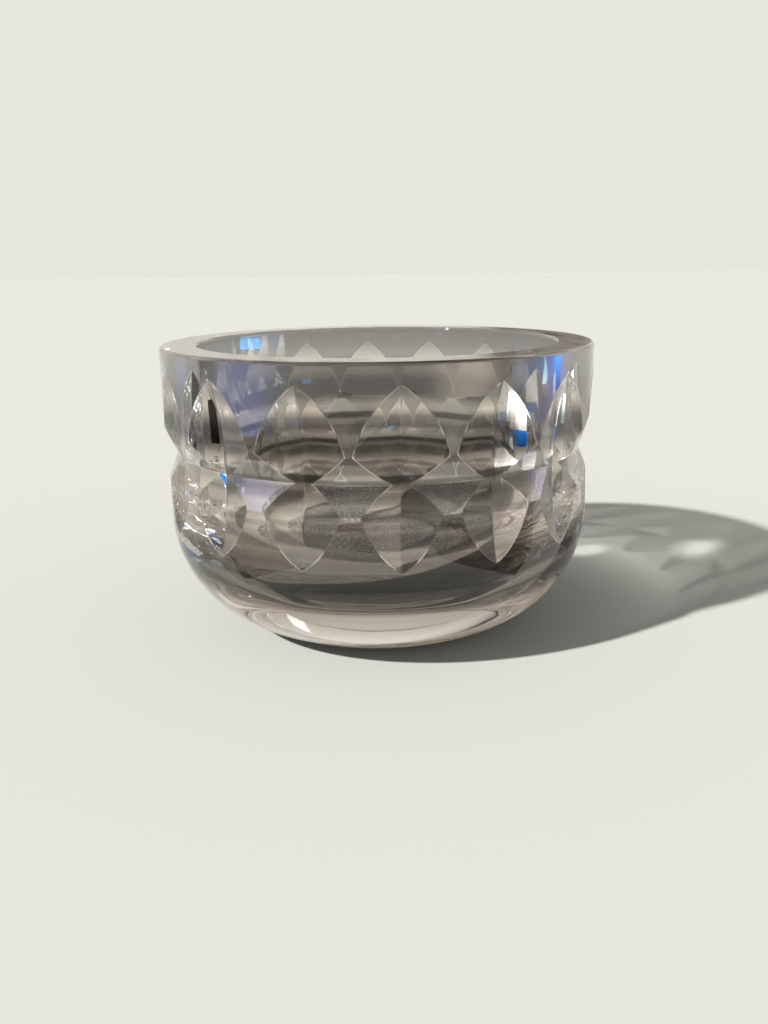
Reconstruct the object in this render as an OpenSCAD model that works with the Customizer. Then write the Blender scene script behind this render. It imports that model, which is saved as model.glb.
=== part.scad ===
// Open salt cellar of clear cut glass: one solid piece, a short round bowl on a heavy flat base.
// A ring of upright pointed cuts runs round the side, and one V groove crosses them all at the waist.
// Origin: centre of the underside. +Z is up, -Y is the front, and all lengths are in millimetres.

/* [Body] */
// Diameter over the upper band, at the rim
rim_d = 60; // [54:0.5:80]
// Height from the underside to the rim
total_h = 39.8; // [37:0.2:56]
// How far the lower bowl stands back from the upper band, on the radius
band_step = 0.3; // [0:0.05:0.8]
// Radius of the curve that turns the side into the flat underside
heel_r = 16.6; // [9:0.2:19]
// Radius of the polished edges of the rim
rim_edge_r = 0.45; // [0.2:0.05:1.2]

/* [Cavity] */
// Thickness of the wall at the rim
wall = 5; // [4:0.1:8]
// Thickness of the glass under the cavity
floor_t = 8.5; // [5:0.5:14]
// Radius of the curve between the cavity's wall and its floor
cavity_heel_r = 13; // [6:0.5:16]

/* [Waist groove] */
// Distance from the rim down to the bottom of the groove
groove_drop = 14.3; // [13:0.1:16]
// Depth of the groove below the upper band
groove_depth = 1.65; // [0.8:0.05:2.2]
// Height of the flank above the bottom of the groove
groove_rise = 3.5; // [2:0.1:5]
// Height of the flank below the bottom of the groove
groove_fall = 3.6; // [2:0.1:5]

/* [Pointed cuts] */
// Number of cuts round the side
cut_count = 16; // [12:1:20]
// Depth of a cut at its middle, which lies on the groove
cut_depth = 1.86; // [1:0.02:2.3]
// Radius of the wheel that grinds a cut, which sets how long the cut runs
cut_wheel_r = 38.1; // [25:0.1:50]
// Angle between the two flanks of a cut, in degrees
cut_angle = 157.4; // [145:0.2:164]
// Turn of the first cut from the front, in degrees
first_cut_turn = 4.2; // [0:0.1:22]
// How far the hand-set spacing drifts over one round, in degrees
cut_drift = 2.5; // [0:0.1:4]
// How far short of the first cut's even place the drift grows from nothing, in degrees
drift_lead = 20; // [0:5:90]

/* [Hidden] */
$fn = 180;
rim_r = rim_d / 2;
bowl_r = rim_r - band_step;
cavity_r = rim_r - wall;
groove_z = total_h - groove_drop;
flank_slope = 1 / tan(cut_angle / 2);
// A flank of the wheel ends where it would reach the plane that touches the upper band
wheel_half_w = cut_depth / flank_slope;
// How far a cutter runs past the surface that it opens
overrun = 1;

// Turn of cut k from the front: an even pitch, and the slow drift of spacing set by eye
function cut_turn(k) =
    let (even = first_cut_turn + k * 360 / cut_count)
    even + cut_drift * sin(even + drift_lead);

// Half section of a round solid with its lower outer corner rounded: radius r, from z = 0 up to h
module rounded_section(r, h, heel) {
    square([r - heel, h]);
    translate([0, heel]) square([r, h - heel]);
    intersection() {
        square([r, h]);
        translate([r - heel, heel]) circle(heel);
    }
}

// What is ground off a square edge at the origin, whose glass lies at -X and -Y, to leave it round
module edge_section(r) {
    difference() {
        translate([-r, -r]) square(r + overrun);
        translate([-r, -r]) circle(r);
    }
}

// Half section of the V groove, bottom point first
module groove_section() {
    upper_slope = groove_depth / groove_rise;
    lower_slope = (groove_depth - band_step) / groove_fall;
    polygon([
        [rim_r - groove_depth, groove_z],
        [rim_r + overrun * upper_slope, groove_z + groove_rise + overrun],
        [rim_r + rim_r, groove_z + groove_rise + overrun],
        [rim_r + rim_r, groove_z - groove_fall - overrun],
        [bowl_r + overrun * lower_slope, groove_z - groove_fall - overrun]
    ]);
}

// Half section of the turned blank with its groove, before the upright cuts
module blank_section() {
    difference() {
        union() {
            rounded_section(bowl_r, total_h, heel_r);
            translate([0, groove_z]) square([rim_r, groove_drop]);
        }
        translate([0, floor_t]) rounded_section(cavity_r, total_h - floor_t + overrun, cavity_heel_r);
        translate([rim_r, total_h]) edge_section(rim_edge_r);
        translate([cavity_r, total_h]) mirror([1, 0]) edge_section(rim_edge_r);
        groove_section();
    }
}

// The grinding wheel at the front: two cones that meet in the edge that leaves the bottom of a cut
module cut_wheel() {
    translate([0, -(rim_r - cut_depth + cut_wheel_r), groove_z])
        for (side = [-1, 1])
            rotate([0, side * 90, 0])
                cylinder(h = wheel_half_w, r1 = cut_wheel_r, r2 = cut_wheel_r - cut_depth);
}

module bowl() {
    color([0.80, 0.80, 0.78, 0.45])
        difference() {
            rotate_extrude() blank_section();
            for (k = [0 : cut_count - 1])
                rotate([0, 0, cut_turn(k)]) cut_wheel();
        }
}

bowl();
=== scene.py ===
import math
import bpy
from mathutils import Euler, Matrix, Vector


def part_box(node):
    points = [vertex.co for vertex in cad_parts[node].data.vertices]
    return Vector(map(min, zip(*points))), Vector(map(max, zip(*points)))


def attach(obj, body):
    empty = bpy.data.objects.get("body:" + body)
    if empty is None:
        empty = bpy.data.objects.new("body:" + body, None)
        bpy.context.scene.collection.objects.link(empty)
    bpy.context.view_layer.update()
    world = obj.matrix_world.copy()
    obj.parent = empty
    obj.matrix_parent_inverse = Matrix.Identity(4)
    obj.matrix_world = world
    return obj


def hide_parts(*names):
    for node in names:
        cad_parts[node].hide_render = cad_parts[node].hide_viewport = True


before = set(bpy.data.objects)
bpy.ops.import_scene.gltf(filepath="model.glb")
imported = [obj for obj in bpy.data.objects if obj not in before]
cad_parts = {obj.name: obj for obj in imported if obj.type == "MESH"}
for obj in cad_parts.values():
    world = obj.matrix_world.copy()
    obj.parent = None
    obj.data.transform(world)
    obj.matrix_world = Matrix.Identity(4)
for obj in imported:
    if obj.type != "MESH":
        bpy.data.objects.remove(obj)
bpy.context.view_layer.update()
bowlLow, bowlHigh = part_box("bowl")

# Lengths are in metres and angles in degrees, as the blank was turned and the wheel was set.
# Past Edge and Past Wheel Edge are times the radius: a row of points stands that far past a rounding.
bowlSizes = {
    "Rim Radius": (bowlHigh.x - bowlLow.x) / 2,
    "Height": bowlHigh.z,
    "Band Step": 0.0003,
    "Heel Radius": 0.0166,
    "Rim Edge Radius": 0.00045,
    "Groove Edge Radius": 0.00025,
    "Wheel Edge Radius": 0.0008,
    "Wall": 0.005,
    "Floor": 0.0085,
    "Cavity Heel Radius": 0.013,
    "Groove Drop": 0.0143,
    "Groove Depth": 0.00165,
    "Groove Rise": 0.0035,
    "Groove Fall": 0.0036,
    "Cut Count": 16,
    "Cut Depth": 0.00186,
    "Wheel Radius": 0.0381,
    "Cut Angle": 157.4,
    "First Turn": 4.2,
    "Drift": 2.5,
    "Drift Lead": 20.0,
    "Round Steps": 360,
    "Wheel Steps": 300,
    "Heel Steps": 40,
    "Edge Steps": 10,
    "Polish Steps": 4,
    "Past Edge": 1.3,
    "Past Wheel Edge": 0.5,
    "Crease Angle": 12.5,
}

# Points nearer to each other than this are one point
mergeDistance = 0.000001


def addNode(tree, kind, *values, **settings):
    # values fill the node's inputs in order: a socket is linked, None is left alone
    node = tree.nodes.new(kind)
    for name, value in settings.items():
        setattr(node, name, value)
    for socket, value in zip(node.inputs, values):
        if isinstance(value, bpy.types.NodeSocket):
            tree.links.new(value, socket)
        elif value is not None:
            socket.default_value = value
    return node


def calc(tree, operation, *values):
    return addNode(tree, "ShaderNodeMath", *values, operation=operation).outputs[0]


def vectorCalc(tree, operation, *values):
    return addNode(tree, "ShaderNodeVectorMath", *values, operation=operation)


def addColour(tree, colour):
    node = addNode(tree, "ShaderNodeRGB")
    node.outputs[0].default_value = colour
    return node.outputs[0]


def pickByIndex(tree, choices, dataType):
    # the first choice goes to point 0, the next to point 1, and so on
    index = addNode(tree, "GeometryNodeInputIndex").outputs[0]
    switch = addNode(tree, "GeometryNodeIndexSwitch", data_type=dataType)
    while len(switch.index_switch_items) < len(choices):
        switch.index_switch_items.new()
    tree.links.new(index, switch.inputs[0])
    for socket, choice in zip(switch.inputs[1:], choices):
        if isinstance(choice, bpy.types.NodeSocket):
            tree.links.new(choice, socket)
        else:
            socket.default_value = choice
    return switch.outputs[0]


def halfSection(tree, corners):
    # an open line from the axis back to the axis, through corners given as
    # (radius, height) or (radius, height, rounding, steps, reach of the rounding along the line)
    bare = [addNode(tree, "ShaderNodeCombineXYZ", spot[0], 0.0, spot[1]).outputs[0] for spot in corners]
    spots, radii, steps = [], [], []
    for number, corner in enumerate(corners):
        rounded = len(corner) > 2
        if rounded:
            spots.append(partWay(tree, bare[number], bare[number - 1], corner[4]))
        spots.append(bare[number])
        if rounded:
            spots.append(partWay(tree, bare[number], bare[number + 1], corner[4]))
        radii += [0.0, corner[2], 0.0] if rounded else [0.0]
        steps += [1, corner[3], 1] if rounded else [1]
    line = addNode(tree, "GeometryNodeMeshLine", len(spots))
    places = pickByIndex(tree, spots, "VECTOR")
    moved = addNode(tree, "GeometryNodeSetPosition", line.outputs[0], None, places)
    curve = addNode(tree, "GeometryNodeMeshToCurve", moved.outputs[0]).outputs[0]
    radius = pickByIndex(tree, radii, "FLOAT")
    count = pickByIndex(tree, steps, "INT")
    return addNode(tree, "GeometryNodeFilletCurve", curve, count, radius, mode="POLY").outputs[0]


def partWay(tree, start, end, distance):
    # a row of points just past a rounding keeps the shading of the flat beside it flat
    along = vectorCalc(tree, "NORMALIZE", vectorCalc(tree, "SUBTRACT", end, start).outputs[0]).outputs[0]
    step = vectorCalc(tree, "SCALE", along)
    tree.links.new(distance, step.inputs["Scale"])
    return vectorCalc(tree, "ADD", start, step.outputs[0]).outputs[0]


def markFaces(tree, geometry, name, value):
    node = addNode(tree, "GeometryNodeStoreNamedAttribute", geometry, data_type="FLOAT", domain="FACE")
    node.inputs["Name"].default_value = name
    node.inputs["Value"].default_value = value
    return node.outputs[0]


def makeTurnedGroup():
    tree = bpy.data.node_groups.new("turned form", "GeometryNodeTree")
    tree.interface.new_socket("Section", in_out="INPUT", socket_type="NodeSocketGeometry")
    tree.interface.new_socket("Steps", in_out="INPUT", socket_type="NodeSocketInt")
    tree.interface.new_socket("Mesh", in_out="OUTPUT", socket_type="NodeSocketGeometry")
    given = addNode(tree, "NodeGroupInput").outputs
    count = addNode(tree, "GeometryNodeAttributeDomainSize", given["Section"], component="CURVE").outputs[0]
    columns = calc(tree, "ADD", given["Steps"], 1.0)
    grid = addNode(tree, "GeometryNodeMeshGrid", None, None, columns, count).outputs[0]
    index = addNode(tree, "GeometryNodeInputIndex").outputs[0]
    column = calc(tree, "FLOOR", calc(tree, "DIVIDE", index, count))
    row = calc(tree, "SUBTRACT", index, calc(tree, "MULTIPLY", column, count))
    angle = calc(tree, "DIVIDE", calc(tree, "MULTIPLY", column, math.tau), given["Steps"])
    place = addNode(tree, "GeometryNodeInputPosition").outputs[0]
    taken = addNode(tree, "GeometryNodeSampleIndex", data_type="FLOAT_VECTOR")
    for value, socket in zip((given["Section"], place, row), taken.inputs):
        tree.links.new(value, socket)
    parts = addNode(tree, "ShaderNodeSeparateXYZ", taken.outputs[0]).outputs
    alongX = calc(tree, "MULTIPLY", parts["X"], calc(tree, "COSINE", angle))
    alongY = calc(tree, "MULTIPLY", parts["X"], calc(tree, "SINE", angle))
    spot = addNode(tree, "ShaderNodeCombineXYZ", alongX, alongY, parts["Z"]).outputs[0]
    turned = addNode(tree, "GeometryNodeSetPosition", grid, None, spot).outputs[0]
    closed = addNode(tree, "GeometryNodeMergeByDistance", turned, None, mergeDistance).outputs[0]
    addNode(tree, "NodeGroupOutput", closed)
    return tree


def makeBowlGroup(turnedGroup):
    tree = bpy.data.node_groups.new("cut bowl", "GeometryNodeTree")
    for name, value in bowlSizes.items():
        kind = "NodeSocketInt" if isinstance(value, int) else "NodeSocketFloat"
        tree.interface.new_socket(name, in_out="INPUT", socket_type=kind)
    tree.interface.new_socket("Material", in_out="INPUT", socket_type="NodeSocketMaterial")
    tree.interface.new_socket("Mesh", in_out="OUTPUT", socket_type="NodeSocketGeometry")
    given = addNode(tree, "NodeGroupInput").outputs
    rim, height = given["Rim Radius"], given["Height"]

    # the blank: underside, heel, lower bowl, groove, upper band, rim, and down the cavity to its floor
    lower = calc(tree, "SUBTRACT", rim, given["Band Step"])
    valley = calc(tree, "SUBTRACT", rim, given["Groove Depth"])
    grooveZ = calc(tree, "SUBTRACT", height, given["Groove Drop"])
    inner = calc(tree, "SUBTRACT", rim, given["Wall"])
    edge, heel, cavityHeel = given["Rim Edge Radius"], given["Heel Radius"], given["Cavity Heel Radius"]
    groove = given["Groove Edge Radius"]
    fine, coarse, polish = given["Heel Steps"], given["Edge Steps"], given["Polish Steps"]
    past = calc(tree, "MULTIPLY", edge, given["Past Edge"])
    heelPast = calc(tree, "ADD", heel, past)
    cavityPast = calc(tree, "ADD", cavityHeel, past)
    section = halfSection(
        tree,
        [
            (0.0, 0.0),
            (lower, 0.0, heel, fine, heelPast),
            (lower, calc(tree, "SUBTRACT", grooveZ, given["Groove Fall"]), groove, polish, groove),
            (valley, grooveZ, groove, polish, groove),
            (rim, calc(tree, "ADD", grooveZ, given["Groove Rise"]), groove, polish, groove),
            (rim, height, edge, coarse, past),
            (inner, height, edge, coarse, past),
            (inner, given["Floor"], cavityHeel, fine, cavityPast),
            (0.0, given["Floor"]),
        ],
    )
    blank = addNode(tree, "GeometryNodeGroup", node_tree=turnedGroup)
    tree.links.new(section, blank.inputs["Section"])
    tree.links.new(given["Round Steps"], blank.inputs["Steps"])

    # the wheel: two cones that meet in its working edge
    slope = calc(tree, "TANGENT", calc(tree, "RADIANS", calc(tree, "DIVIDE", given["Cut Angle"], 2.0)))
    halfWidth = calc(tree, "MULTIPLY", given["Cut Depth"], slope)
    hub = calc(tree, "SUBTRACT", given["Wheel Radius"], given["Cut Depth"])
    lowSide = calc(tree, "MULTIPLY", halfWidth, -1.0)
    working = given["Wheel Edge Radius"]
    workingPast = calc(tree, "MULTIPLY", working, given["Past Wheel Edge"])
    wheelSection = halfSection(
        tree,
        [
            (0.0, lowSide),
            (hub, lowSide),
            (given["Wheel Radius"], 0.0, working, polish, workingPast),
            (hub, halfWidth),
            (0.0, halfWidth),
        ],
    )
    wheel = addNode(tree, "GeometryNodeGroup", node_tree=turnedGroup)
    tree.links.new(wheelSection, wheel.inputs["Section"])
    tree.links.new(given["Wheel Steps"], wheel.inputs["Steps"])

    # one wheel stands at each cut: an even pitch, and the slow drift of spacing set by eye
    index = addNode(tree, "GeometryNodeInputIndex").outputs[0]
    pitch = calc(tree, "DIVIDE", math.tau, given["Cut Count"])
    even = calc(tree, "MULTIPLY_ADD", index, pitch, calc(tree, "RADIANS", given["First Turn"]))
    led = calc(tree, "ADD", even, calc(tree, "RADIANS", given["Drift Lead"]))
    drift = calc(tree, "MULTIPLY", calc(tree, "RADIANS", given["Drift"]), calc(tree, "SINE", led))
    turn = calc(tree, "ADD", even, drift)
    reach = calc(tree, "ADD", rim, hub)
    spot = addNode(
        tree,
        "ShaderNodeCombineXYZ",
        calc(tree, "MULTIPLY", reach, calc(tree, "SINE", turn)),
        calc(tree, "MULTIPLY", calc(tree, "MULTIPLY", reach, -1.0), calc(tree, "COSINE", turn)),
        grooveZ,
    )
    stations = addNode(tree, "GeometryNodeMeshLine", given["Cut Count"]).outputs[0]
    stations = addNode(tree, "GeometryNodeSetPosition", stations, None, spot.outputs[0]).outputs[0]
    facing = addNode(tree, "ShaderNodeCombineXYZ", 0.0, math.pi / 2, turn).outputs[0]
    wheels = addNode(tree, "GeometryNodeInstanceOnPoints", stations, None, wheel.outputs[0])
    rotation = addNode(tree, "FunctionNodeEulerToRotation", facing).outputs[0]
    tree.links.new(rotation, wheels.inputs["Rotation"])

    # every face keeps the mark of what made it: the wheel's ground facets, or the turned blank
    plain = markFaces(tree, blank.outputs[0], "ground", 0.0)
    ground = markFaces(tree, wheels.outputs[0], "ground", 1.0)
    cut = addNode(tree, "GeometryNodeMeshBoolean", plain, operation="DIFFERENCE", solver="MANIFOLD")
    tree.links.new(ground, cut.inputs["Mesh 2"])
    cleaned = addNode(tree, "GeometryNodeMergeByDistance", cut.outputs[0], None, mergeDistance).outputs[0]

    # and every point keeps how deep it lies under the blank, which is nothing at a facet's border
    under = addNode(tree, "GeometryNodeProximity", blank.outputs[0], target_element="FACES")
    kept = addNode(tree, "GeometryNodeStoreNamedAttribute", cleaned, data_type="FLOAT", domain="POINT")
    kept.inputs["Name"].default_value = "depth"
    tree.links.new(under.outputs["Distance"], kept.inputs["Value"])
    smooth = addNode(tree, "GeometryNodeSetShadeSmooth", kept.outputs[0], domain="FACE").outputs[0]
    bend = addNode(tree, "GeometryNodeInputMeshEdgeAngle").outputs[0]
    creased = calc(tree, "LESS_THAN", bend, calc(tree, "RADIANS", given["Crease Angle"]))
    creased = addNode(tree, "GeometryNodeSetShadeSmooth", smooth, None, creased, domain="EDGE").outputs[0]
    realized = addNode(tree, "GeometryNodeRealizeInstances", creased).outputs[0]
    finished = addNode(tree, "GeometryNodeSetMaterial", realized)
    tree.links.new(given["Material"], finished.inputs["Material"])
    addNode(tree, "NodeGroupOutput", finished.outputs[0])
    return tree


def buildBowl(material):
    tree = makeBowlGroup(makeTurnedGroup())
    maker = bpy.data.objects.new("bowlMaker", bpy.data.meshes.new("bowlMaker"))
    bpy.context.scene.collection.objects.link(maker)
    modifier = maker.modifiers.new("cut bowl", "NODES")
    modifier.node_group = tree
    for item in tree.interface.items_tree:
        if item.in_out == "INPUT":
            modifier[item.identifier] = material if item.name == "Material" else bowlSizes[item.name]
    graph = bpy.context.evaluated_depsgraph_get()
    mesh = bpy.data.meshes.new_from_object(maker.evaluated_get(graph))
    mesh.name = "cutBowl"
    bowl = bpy.data.objects.new("cutBowl", mesh)
    bpy.context.scene.collection.objects.link(bowl)
    maker.modifiers.clear()
    bpy.data.objects.remove(maker)
    print("bowl:", len(mesh.vertices), "points,", len(mesh.polygons), "faces")
    return bowl


# Each crossing of a surface takes the root of its colour, so a wall crossed on both sides takes it in full.
# Skin, ground facets and cavity carry painted light and shade: light and dark zones by the height in metres
# from the underside, for the bright and dark surroundings seen in the glass.
crystalLook = {
    "Skin Painted Light And Shade": (
        (0.0, (0.97, 0.96, 0.94)),
        (0.0003, (1.0, 0.97, 0.93)),
        (0.004, (1.0, 0.97, 0.93)),
        (0.006, (0.80, 0.71, 0.64)),
        (0.0087, (0.47, 0.41, 0.36)),
        (0.0093, (0.14, 0.12, 0.105)),
        (0.0105, (0.06, 0.05, 0.043)),
        (0.0160, (0.06, 0.05, 0.043)),
        (0.0170, (0.14, 0.12, 0.105)),
        (0.0178, (0.50, 0.44, 0.39)),
        (0.0205, (0.78, 0.70, 0.63)),
        (0.0230, (0.90, 0.83, 0.77)),
        (0.0245, (0.62, 0.57, 0.53)),
        (0.0254, (0.62, 0.57, 0.53)),
        (0.0256, (1.0, 0.95, 0.88)),
        (0.0279, (1.0, 0.93, 0.86)),
        (0.0281, (0.16, 0.155, 0.15)),
        (0.0340, (0.18, 0.175, 0.17)),
        (0.0352, (0.25, 0.24, 0.23)),
        (0.0370, (0.32, 0.315, 0.31)),
        (0.0392, (0.35, 0.33, 0.31)),
        (0.0397, (0.45, 0.385, 0.33)),
    ),
    "Facet Painted Light And Shade": (
        (0.005, (1.0, 0.97, 0.93)),
        (0.011, (1.0, 0.96, 0.92)),
        (0.0145, (0.32, 0.28, 0.255)),
        (0.0168, (0.085, 0.075, 0.068)),
        (0.0180, (0.32, 0.285, 0.255)),
        (0.0195, (0.32, 0.285, 0.255)),
        (0.0199, (0.76, 0.68, 0.62)),
        (0.0212, (0.72, 0.65, 0.59)),
        (0.0220, (0.42, 0.38, 0.34)),
        (0.0226, (0.42, 0.38, 0.34)),
        (0.0234, (0.40, 0.36, 0.33)),
        (0.0240, (0.34, 0.31, 0.29)),
        (0.0248, (0.90, 0.83, 0.77)),
        (0.0254, (0.90, 0.83, 0.77)),
        (0.0256, (0.60, 0.54, 0.49)),
        (0.0269, (0.84, 0.76, 0.69)),
        (0.0273, (0.50, 0.45, 0.41)),
        (0.0280, (0.24, 0.215, 0.195)),
        (0.0291, (0.10, 0.092, 0.088)),
        (0.0312, (0.11, 0.10, 0.095)),
        (0.0325, (0.40, 0.36, 0.33)),
        (0.0340, (0.80, 0.72, 0.64)),
        (0.0352, (0.64, 0.575, 0.51)),
    ),
    "Cavity Painted Light And Shade": (
        (0.0085, (1.0, 1.0, 1.0)),
        (0.014, (1.0, 0.99, 0.98)),
        (0.018, (0.62, 0.60, 0.58)),
        (0.0190, (0.90, 0.88, 0.86)),
        (0.0193, (0.48, 0.46, 0.44)),
        (0.0198, (0.48, 0.46, 0.44)),
        (0.0201, (0.95, 0.93, 0.91)),
        (0.0218, (0.85, 0.82, 0.79)),
        (0.0225, (0.40, 0.38, 0.36)),
        (0.0238, (0.20, 0.19, 0.18)),
        (0.0243, (0.60, 0.57, 0.54)),
        (0.0248, (0.60, 0.57, 0.54)),
        (0.0252, (0.07, 0.066, 0.062)),
        (0.0260, (0.07, 0.066, 0.062)),
        (0.0263, (0.90, 0.87, 0.84)),
        (0.0283, (0.88, 0.85, 0.82)),
        (0.0288, (0.42, 0.40, 0.38)),
        (0.0300, (0.44, 0.42, 0.40)),
        (0.032, (0.72, 0.70, 0.68)),
        (0.0335, (1.0, 0.98, 0.96)),
        (0.0355, (0.82, 0.80, 0.78)),
        (0.037, (0.40, 0.39, 0.38)),
        (0.0393, (0.26, 0.255, 0.25)),
    ),
    "Wave Size": (0.007, 0.007, 0.007),
    "Wave Depth": 0.000016,
    "Ring Size": (0.0009, 0.0009, 0.0009),
    "Ring Depth": 0.0000012,
    "Streak Size": (0.0011, 0.0011, 0.02),
    "Streak Depth": 0.000003,
    "Border Width": 0.00005,
    "Border Fall": 0.000012,
    "Border Curve": 2.0,
    "Painted Border Highlight": (1.0, 0.98, 0.95, 1.0),
    "Speck Size": (0.0006, 0.0006, 0.0006),
    "Speck Detail": 1.0,
    "Speck Range": (0.62, 0.48),
    "Speck Top": 0.0034,
    "Painted Shade Between Specks": (0.22, 0.19, 0.165, 1.0),
    "IOR": 1.52,
    "Shadow Tints": (
        (0.0, (0.95,) * 3),
        (0.0003, (0.0,) * 3),
        (0.005, (0.0,) * 3),
        (0.0085, (0.06,) * 3),
        (0.0115, (0.18,) * 3),
        (0.0148, (0.40,) * 3),
        (0.0185, (0.38,) * 3),
        (0.022, (0.25,) * 3),
        (0.0255, (0.18,) * 3),
        (0.029, (0.14,) * 3),
    ),
    "Shadow Focus": 2.5,
    "Square To Lamp": 0.8,
    "Shadow Clear": 0.95,
    "Light Spots": (
        ((0.0288, 0.0075, 0.0250), 0.0065),
        ((0.0232, 0.0175, 0.0118), 0.0040),
        ((-0.0080, 0.0225, 0.0022), 0.0110),
    ),
}


def mixColours(tree, factor, first, second):
    node = addNode(tree, "ShaderNodeMix", factor, data_type="RGBA")
    tree.links.new(first, node.inputs[6])
    tree.links.new(second, node.inputs[7])
    return node.outputs[2]


def rampByHeight(tree, height, stops):
    total = bowlSizes["Height"]
    ramp = addNode(tree, "ShaderNodeValToRGB", calc(tree, "DIVIDE", height, total))
    line = ramp.color_ramp
    while len(line.elements) < len(stops):
        line.elements.new(1.0)
    for element, (stop, paintedLightAndShade) in zip(line.elements, stops):
        element.position = stop / total
        element.color = (*paintedLightAndShade, 1.0)
    return ramp.outputs[0]


def addNoise(tree, place, sizes, detail=2.0):
    # as fine as the sizes say, in metres along X, Y and Z
    scales = [1 / size for size in sizes]
    noise = addNode(tree, "ShaderNodeTexNoise", vectorCalc(tree, "MULTIPLY", place, scales).outputs[0])
    noise.inputs["Scale"].default_value = 1.0
    noise.inputs["Detail"].default_value = detail
    return noise.outputs[0]


def unevenness(tree, place, sizes, depth):
    return calc(tree, "MULTIPLY", addNoise(tree, place, sizes), depth)


def makeCrystal():
    look = crystalLook
    material = bpy.data.materials.new("crystal")
    material.use_nodes = True
    tree = material.node_tree
    tree.nodes.clear()
    place = addNode(tree, "ShaderNodeTexCoord").outputs["Object"]
    parts = addNode(tree, "ShaderNodeSeparateXYZ", place).outputs
    flat = addNode(tree, "ShaderNodeCombineXYZ", parts["X"], parts["Y"], 0.0).outputs[0]
    radius = vectorCalc(tree, "LENGTH", flat).outputs["Value"]

    # the cavity's own surface, told from the outside by its radius and height
    slack = bowlSizes["Rim Edge Radius"] / 10
    within = calc(tree, "LESS_THAN", radius, bowlSizes["Rim Radius"] - bowlSizes["Wall"] + slack)
    above = calc(tree, "GREATER_THAN", parts["Z"], bowlSizes["Floor"] - slack)
    inside = calc(tree, "MULTIPLY", within, above)
    ground = addNode(tree, "ShaderNodeAttribute", attribute_name="ground").outputs["Fac"]
    # painted light and shade: light and dark zones by height on skin, cavity and facets, for the
    # surroundings seen in the glass
    skin = rampByHeight(tree, parts["Z"], look["Skin Painted Light And Shade"])
    cavity = rampByHeight(tree, parts["Z"], look["Cavity Painted Light And Shade"])
    facet = rampByHeight(tree, parts["Z"], look["Facet Painted Light And Shade"])
    paintedLightAndShade = mixColours(tree, ground, mixColours(tree, inside, skin, cavity), facet)

    # along each facet's border a painted highlight makes a bright line, and a bump rounds it slightly like a
    # polished edge
    depth = addNode(tree, "ShaderNodeAttribute", attribute_name="depth").outputs["Fac"]
    nearness = addNode(tree, "ShaderNodeMapRange", depth, look["Border Width"], 0.0).outputs[0]
    border = calc(tree, "MULTIPLY", nearness, ground)
    paintedLightAndShade = mixColours(tree, border, paintedLightAndShade, addColour(tree, look["Painted Border Highlight"]))

    # painted shade: below Speck Top the foot is darkened between fine specks
    specks = addNoise(tree, place, look["Speck Size"], look["Speck Detail"])
    paintedSpeckShade = addNode(tree, "ShaderNodeMapRange", specks, *look["Speck Range"]).outputs[0]
    paintedSpeckShade = calc(tree, "MULTIPLY", paintedSpeckShade, calc(tree, "LESS_THAN", parts["Z"], look["Speck Top"]))
    paintedLightAndShade = mixColours(tree, paintedSpeckShade, paintedLightAndShade, addColour(tree, look["Painted Shade Between Specks"]))

    glass = addNode(tree, "ShaderNodeBsdfPrincipled")
    tree.links.new(paintedLightAndShade, glass.inputs["Base Color"])
    glass.inputs["IOR"].default_value = look["IOR"]
    glass.inputs["Roughness"].default_value = 0.0
    glass.inputs["Transmission Weight"].default_value = 1.0

    # the lap leaves the skin gently wavy, with fine turned rings, and the wheel leaves upright streaks
    wave = unevenness(tree, place, look["Wave Size"], look["Wave Depth"])
    around = addNode(tree, "ShaderNodeCombineXYZ", radius, 0.0, parts["Z"]).outputs[0]
    rings = unevenness(tree, around, look["Ring Size"], look["Ring Depth"])
    streaks = unevenness(tree, place, look["Streak Size"], look["Streak Depth"])
    ringed = calc(tree, "MULTIPLY", rings, calc(tree, "SUBTRACT", 1.0, ground))
    height = calc(tree, "ADD", calc(tree, "ADD", wave, ringed), calc(tree, "MULTIPLY", streaks, ground))
    fall = calc(tree, "MULTIPLY", calc(tree, "POWER", border, look["Border Curve"]), look["Border Fall"])
    height = calc(tree, "SUBTRACT", height, fall)
    bump = addNode(tree, "ShaderNodeBump")
    bump.inputs["Distance"].default_value = 1.0
    tree.links.new(height, bump.inputs["Height"])
    tree.links.new(bump.outputs[0], glass.inputs["Normal"])

    # light comes in freely on the lamp's side. Where it leaves, the glass bends most of it away,
    # and gathers some in three spots
    grazing = addNode(tree, "ShaderNodeLayerWeight").outputs["Facing"]
    square = calc(tree, "DIVIDE", calc(tree, "SUBTRACT", 1.0, grazing), look["Square To Lamp"])
    focus = calc(tree, "POWER", square, look["Shadow Focus"])
    shaded = rampByHeight(tree, parts["Z"], look["Shadow Tints"])
    passed = calc(tree, "MULTIPLY", addNode(tree, "ShaderNodeRGBToBW", shaded).outputs[0], focus)
    for spot, reach in look["Light Spots"]:
        away = vectorCalc(tree, "DISTANCE", place, spot).outputs["Value"]
        glow = addNode(tree, "ShaderNodeMapRange", away, reach, 0.0, interpolation_type="SMOOTHSTEP")
        passed = calc(tree, "ADD", passed, glow.outputs[0])
    freely = calc(tree, "MAXIMUM", inside, addNode(tree, "ShaderNodeNewGeometry").outputs["Backfacing"])
    passed = calc(tree, "MAXIMUM", passed, calc(tree, "MULTIPLY", freely, look["Shadow Clear"]))
    passed = calc(tree, "MINIMUM", passed, look["Shadow Clear"])
    through = addNode(tree, "ShaderNodeBsdfTransparent", passed)
    shadow = addNode(tree, "ShaderNodeLightPath").outputs["Is Shadow Ray"]
    mixed = addNode(tree, "ShaderNodeMixShader", shadow, glass.outputs[0], through.outputs[0])
    addNode(tree, "ShaderNodeOutputMaterial", mixed.outputs[0])
    print("crystal:", len(tree.nodes), "nodes")
    return material


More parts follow.
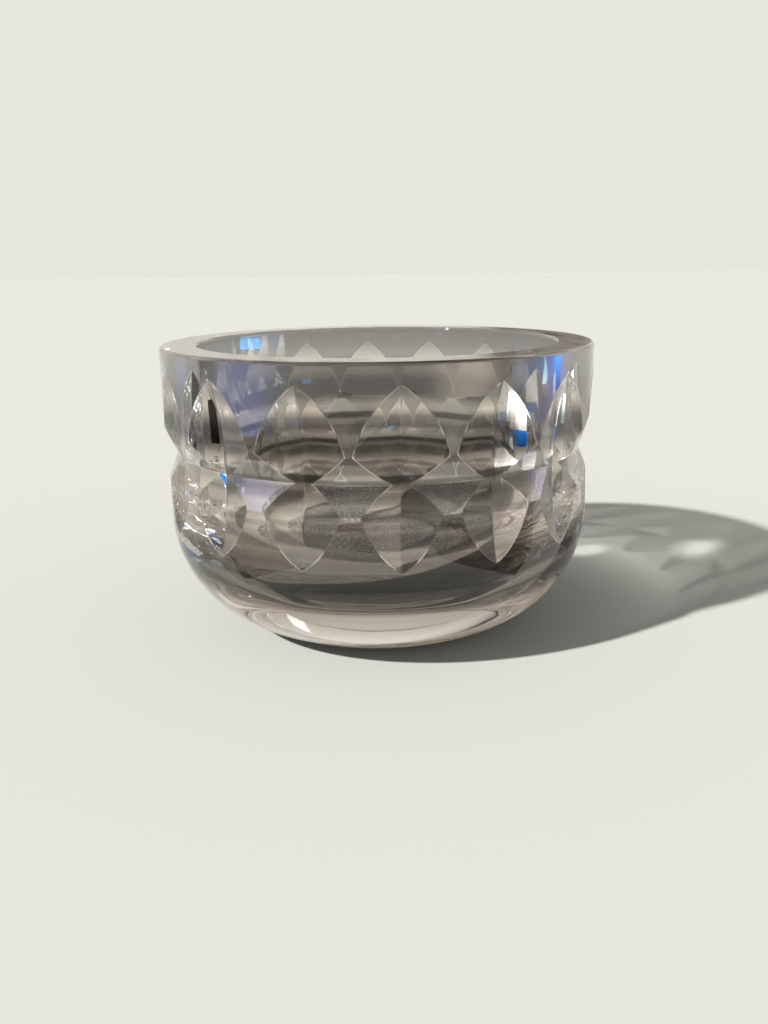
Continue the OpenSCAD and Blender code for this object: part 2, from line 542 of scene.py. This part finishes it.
# The photograph's own camera: its place in rim radii, and its turn in radians
cameraSizes = {
    "back": 4.4776,
    "above rim": 0.367,
    "pitch": 0.2632,
    "yaw": 0.0053,
    "roll": -0.0123,
    "lens": 33.05,
    "sensor": 36.0,
    "near clip": 0.005,
}


def makeCamera():
    data = bpy.data.cameras.new("camera")
    data.lens = cameraSizes["lens"]
    data.sensor_width = cameraSizes["sensor"]
    data.clip_start = cameraSizes["near clip"]
    camera = bpy.data.objects.new("camera", data)
    rim, height = bowlSizes["Rim Radius"], bowlSizes["Height"]
    turn = Euler((math.pi / 2 - cameraSizes["pitch"], 0.0, -cameraSizes["yaw"])).to_matrix()
    turn = turn @ Matrix.Rotation(cameraSizes["roll"], 3, "Z")
    camera.matrix_world = Matrix.Translation(
        (0.0, -cameraSizes["back"] * rim, height + cameraSizes["above rim"] * rim)
    ) @ turn.to_4x4()
    bpy.context.scene.collection.objects.link(camera)
    bpy.context.scene.camera = camera
    print("camera: lens", cameraSizes["lens"], "mm")


stageLook = {
    "Pale": (0.791, 0.791, 0.730, 1.0),
    "Upper Tone": (0.11, 0.11, 0.115, 1.0),
    "Upper Light": (0.92, 0.84, 0.74, 1.0),
    "Bright Side": (0.75, -0.55, 0.35),
    "Bright Range": (-0.5, 0.45),
    "Pale To": 22.0,
    "Upper From": 40.0,
    "Floor Size": 6.0,
    "Floor Drop": 0.0001,
    "Key Strength": 4.0,
    "Key Softness": 2.2,
    "Key From": (-0.046, -0.030, 0.0398),
}


def makeMatte(name, colour):
    material = bpy.data.materials.new(name)
    material.use_nodes = True
    shader = material.node_tree.nodes["Principled BSDF"]
    shader.inputs["Base Color"].default_value = colour
    shader.inputs["Roughness"].default_value = 1.0
    shader.inputs["Specular IOR Level"].default_value = 0.0
    return material


def makeSheet(name, corners, material):
    mesh = bpy.data.meshes.new(name)
    mesh.from_pydata(corners, [], [(0, 1, 2, 3)])
    mesh.materials.append(material)
    sheet = bpy.data.objects.new(name, mesh)
    bpy.context.scene.collection.objects.link(sheet)
    return sheet


def layFlat(left, right, near, far, height):
    return [(left, near, height), (right, near, height), (right, far, height), (left, far, height)]


def makeFloor():
    half = stageLook["Floor Size"] / 2
    corners = layFlat(-half, half, -half, half, -stageLook["Floor Drop"])
    floor = makeSheet("floor", corners, makeMatte("paleFloor", stageLook["Pale"]))


def makeStudio():
    # a pale backdrop all round, up to a dimmer ceiling that the camera never meets
    world = bpy.data.worlds.new("studio")
    bpy.context.scene.world = world
    world.use_nodes = True
    tree = world.node_tree
    tree.nodes.clear()
    direction = addNode(tree, "ShaderNodeTexCoord").outputs["Generated"]
    rise = addNode(tree, "ShaderNodeSeparateXYZ", direction).outputs["Z"]
    low, high = (math.sin(math.radians(stageLook[name])) for name in ("Pale To", "Upper From"))
    upper = addNode(tree, "ShaderNodeMapRange", rise, low, high, interpolation_type="SMOOTHSTEP").outputs[0]
    path = addNode(tree, "ShaderNodeLightPath").outputs
    upper = calc(tree, "MULTIPLY", upper, calc(tree, "SUBTRACT", 1.0, path["Is Camera Ray"]))

    # through the glass the ceiling shows bright to the right and in front
    towards = vectorCalc(tree, "DOT_PRODUCT", direction, stageLook["Bright Side"]).outputs["Value"]
    share = addNode(tree, "ShaderNodeMapRange", towards, *stageLook["Bright Range"]).outputs[0]
    share = calc(tree, "MULTIPLY", share, path["Is Transmission Ray"])
    dark = addColour(tree, stageLook["Upper Tone"])
    light = addColour(tree, stageLook["Upper Light"])
    pale = addNode(tree, "ShaderNodeBackground", stageLook["Pale"], 1.0)
    ceiling = addNode(tree, "ShaderNodeBackground", mixColours(tree, share, dark, light), 1.0)
    mixed = addNode(tree, "ShaderNodeMixShader", upper, pale.outputs[0], ceiling.outputs[0])
    addNode(tree, "ShaderNodeOutputWorld", mixed.outputs[0])

    lamp = bpy.data.lights.new("key", "SUN")
    lamp.energy = stageLook["Key Strength"]
    lamp.angle = math.radians(stageLook["Key Softness"])
    key = bpy.data.objects.new("key", lamp)
    bpy.context.scene.collection.objects.link(key)
    key.rotation_mode = "QUATERNION"
    key.rotation_quaternion = Vector(stageLook["Key From"]).to_track_quat("Z", "Y")


# Dark cloths on the floor, out of the camera's view: without them the glass mirrors the pale floor.
# A reach gives the left, right, near and far edge. The cloths at the sides show only where mirrored.
clothSizes = {
    "lift": 0.0005,
    "tone": (0.02, 0.02, 0.02, 1.0),
    "cloths": {
        "front": {"reach": (-0.09, 0.09, -0.28, -0.084), "mirrored only": False},
        "left": {"reach": (-0.16, -0.033, -0.084, -0.024), "mirrored only": True},
        "right": {"reach": (0.033, 0.16, -0.084, -0.024), "mirrored only": True},
    },
}


def hideFromCamera(sheet, mirroredOnly):
    sheet.visible_camera = False
    sheet.visible_diffuse = False
    sheet.visible_shadow = False
    sheet.visible_transmission = not mirroredOnly


def makeCloths():
    material = makeMatte("flagCloth", clothSizes["tone"])
    for name, cloth in clothSizes["cloths"].items():
        sheet = makeSheet(name + "Cloth", layFlat(*cloth["reach"], clothSizes["lift"]), material)
        hideFromCamera(sheet, cloth["mirrored only"])


# Soft boxes and dark flags round the bowl. They stand upright at a turn from the back toward the right,
# with one colour at the foot and one at the top, and they are seen only in the glass: some are mirrored
# in it and the others show through it. A card's soft share is how much of its width fades out at each side.
cards = {
    "rightWindow": {"turn": (64.0, 104.0), "away": 0.20, "height": (0.027, 0.060), "soft": 0.01,
                    "foot": (1.0, 1.0, 1.0), "top": (0.90, 0.98, 1.0), "power": 8.0},
    "rightDusk": {"turn": (64.0, 104.0), "away": 0.20, "height": (0.010, 0.027), "soft": 0.01,
                  "foot": (0.01, 0.03, 0.15), "top": (0.02, 0.30, 1.0), "power": 6.5},
    "rightSlit": {"turn": (43.5, 54.0), "away": 0.20, "height": (0.030, 0.070), "soft": 0.05,
                  "foot": (0.62, 0.97, 1.0), "top": (0.70, 0.95, 1.0), "power": 3.5},
    "backSlit": {"turn": (-18.6, -14.8), "away": 0.20, "height": (0.0214, 0.0251), "soft": 0.08,
                 "foot": (0.24, 0.56, 1.0), "top": (0.26, 0.60, 1.0), "power": 2.9},
    "leftPanel": {"turn": (-60.0, -39.0), "away": 0.20, "height": (0.005, 0.06), "soft": 0.3,
                  "foot": (0.76, 0.80, 1.0), "top": (0.80, 0.85, 1.0), "power": 1.2},
    "leftFlag": {"turn": (-84.0, -71.0), "away": 0.20, "height": (0.014, 0.064), "soft": 0.0,
                 "foot": (0.030, 0.014, 0.012), "top": (0.02, 0.015, 0.014), "power": 1.0},
    "highWindow": {"turn": (14.0, 26.0), "away": 2.0, "height": (0.58, 0.76), "soft": 0.1,
                   "foot": (1.0, 0.92, 0.70), "top": (0.82, 0.92, 1.0), "power": 2.2},
    "leftSheen": {"turn": (-148.0, -104.0), "away": 0.07, "height": (0.024, 0.075), "soft": 0.45,
                  "foot": (0.35, 0.45, 1.0), "top": (0.40, 0.48, 1.0), "power": 3.2, "mirrored only": True},
    "rightSheen": {"turn": (84.0, 112.0), "away": 0.07, "height": (0.024, 0.075), "soft": 0.35,
                   "foot": (0.45, 0.45, 1.0), "top": (0.50, 0.50, 1.0), "power": 2.4, "mirrored only": True},
    "rimFlag": {"turn": (6.0, 18.0), "away": 0.60, "height": (0.050, 0.150), "soft": 0.3,
                "foot": (0.19, 0.18, 0.17), "top": (0.19, 0.18, 0.17), "power": 1.0, "mirrored only": True},
    "rightGlow": {"turn": (118.0, 160.0), "away": 0.20, "height": (0.0125, 0.09), "soft": 0.45,
                  "foot": (1.0, 0.85, 0.70), "top": (1.0, 0.88, 0.76), "power": 4.5, "mirrored only": True},
}

# In radians, so that a card with a hard edge still has some width to fade over
leastFade = 0.0001


def makeCardMaterial(name, card):
    material = bpy.data.materials.new(name)
    material.use_nodes = True
    tree = material.node_tree
    tree.nodes.clear()
    place = addNode(tree, "ShaderNodeTexCoord").outputs["Object"]
    parts = addNode(tree, "ShaderNodeSeparateXYZ", place).outputs
    share = addNode(tree, "ShaderNodeMapRange", parts["Z"], *card["height"]).outputs[0]
    foot = addColour(tree, (*card["foot"], 1.0))
    top = addColour(tree, (*card["top"], 1.0))
    glow = addNode(tree, "ShaderNodeEmission", mixColours(tree, share, foot, top), card["power"])

    # each side fades out over its soft share of the card's width
    turned = calc(tree, "ARCTAN2", parts["X"], parts["Y"])
    first, last = (math.radians(turn) for turn in card["turn"])
    margin = card["soft"] * (last - first) + leastFade
    seen = []
    for edge, within in ((first, first + margin), (last, last - margin)):
        fade = addNode(tree, "ShaderNodeMapRange", turned, edge, within, interpolation_type="SMOOTHSTEP")
        seen.append(fade.outputs[0])
    clear = addNode(tree, "ShaderNodeBsdfTransparent")
    shown = calc(tree, "MULTIPLY", *seen)
    faded = addNode(tree, "ShaderNodeMixShader", shown, clear.outputs[0], glow.outputs[0])
    addNode(tree, "ShaderNodeOutputMaterial", faded.outputs[0])
    return material


def makeCards():
    for name, card in cards.items():
        low, high = card["height"]
        ends = []
        for turn in card["turn"]:
            angle = math.radians(turn)
            ends.append((card["away"] * math.sin(angle), card["away"] * math.cos(angle)))
        corners = [(*ends[0], low), (*ends[1], low), (*ends[1], high), (*ends[0], high)]
        sheet = makeSheet(name, corners, makeCardMaterial(name, card))
        mirrored = "mirrored only" in card
        hideFromCamera(sheet, mirrored)
        sheet.visible_glossy = mirrored
    print("studio:", len(clothSizes["cloths"]), "cloths,", len(cards), "cards")


# Light is followed this often through the glass, so that little of it is lost on the way
glassBounces = 44
clearBounces = 16

crystal = makeCrystal()
bowl = buildBowl(crystal)
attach(bowl, "root")
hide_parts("bowl")
makeFloor()
makeStudio()
makeCloths()
makeCards()
makeCamera()
bpy.context.scene.view_settings.view_transform = "Standard"
cycles = bpy.context.scene.cycles
cycles.transmission_bounces = glassBounces
cycles.glossy_bounces = glassBounces
cycles.max_bounces = glassBounces
cycles.transparent_max_bounces = clearBounces
cycles.caustics_refractive = False
cycles.caustics_reflective = False
